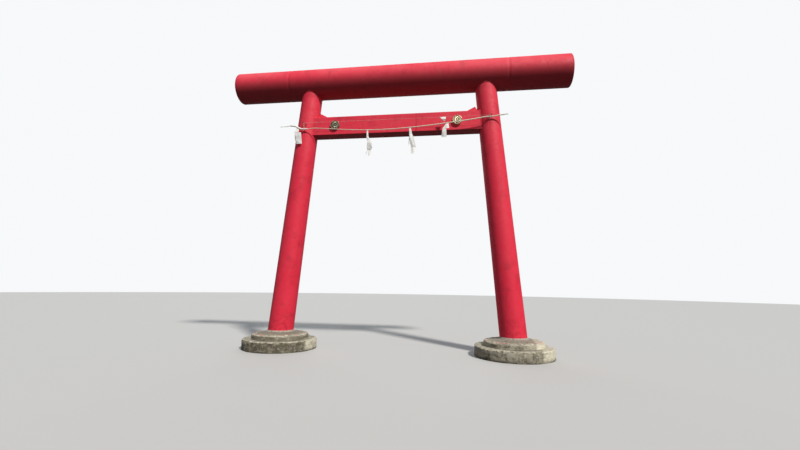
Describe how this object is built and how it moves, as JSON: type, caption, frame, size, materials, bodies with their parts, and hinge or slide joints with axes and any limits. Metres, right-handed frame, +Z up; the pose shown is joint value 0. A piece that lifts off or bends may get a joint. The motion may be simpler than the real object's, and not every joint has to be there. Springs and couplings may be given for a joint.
{
  "type": "torii gate",
  "caption": "Shrine gateway of painted steel pipe: leaning posts saddle-cut under a round top rail, a box tie beam with wedges and crests, a straw rope with streamers, and round base stones.",
  "frame": {"origin": "on the ground, midway between the two posts and on their common centre plane", "axes": "+Z up, X along the top rail, the front with the crests and the rope faces -Y"},
  "size_m": [8.4, 1.72, 7.04],
  "materials": {
    "painted_steel": "weathered vermilion gloss paint",
    "base_stone": "weathered grey-beige cut stone",
    "mortar": "rough cement mortar",
    "crest_bronze": "green patina with worn pale gold",
    "dark_steel": "dark weathered rod",
    "straw_rope": "twisted dry rice straw",
    "pale_string": "thin pale string",
    "white_paper": "folded white paper"
  },
  "bodies": {
    "root": {"kasagi_left_end_plate": "painted_steel", "kasagi_left_joint_sleeve": "painted_steel", "kasagi_left_pipe": "painted_steel", "kasagi_middle_pipe": "painted_steel", "kasagi_right_end_plate": "painted_steel", "kasagi_right_joint_sleeve": "painted_steel", "kasagi_right_pipe": "painted_steel", "left_crest_boss": "crest_bronze", "left_crest_petals": "crest_bronze", "left_crest_plate": "crest_bronze", "left_crest_rim": "crest_bronze", "left_foot_mortar": "mortar", "left_lower_stone": "base_stone", "left_post": "painted_steel", "left_post_base_plate": "painted_steel", "left_rope_hook": "dark_steel", "left_rope_tie": "dark_steel", "left_upper_stone": "base_stone", "left_wedge": "painted_steel", "nuki_joint_frame": "painted_steel", "nuki_left_length": "painted_steel", "nuki_right_length": "painted_steel", "right_crest_boss": "crest_bronze", "right_crest_petals": "crest_bronze", "right_crest_plate": "crest_bronze", "right_crest_rim": "crest_bronze", "right_foot_mortar": "mortar", "right_lower_stone": "base_stone", "right_post": "painted_steel", "right_post_base_plate": "painted_steel", "right_rope_hook": "dark_steel", "right_rope_tie": "dark_steel", "right_upper_stone": "base_stone", "right_wedge": "painted_steel", "rope": "straw_rope", "rope_wrapped_end": "white_paper", "streamer_left_middle": "white_paper", "streamer_left_post": "white_paper", "streamer_right_crest": "white_paper", "streamer_right_middle": "white_paper", "string_flap": "white_paper", "taut_string": "pale_string"}
  },
  "joints": []
}
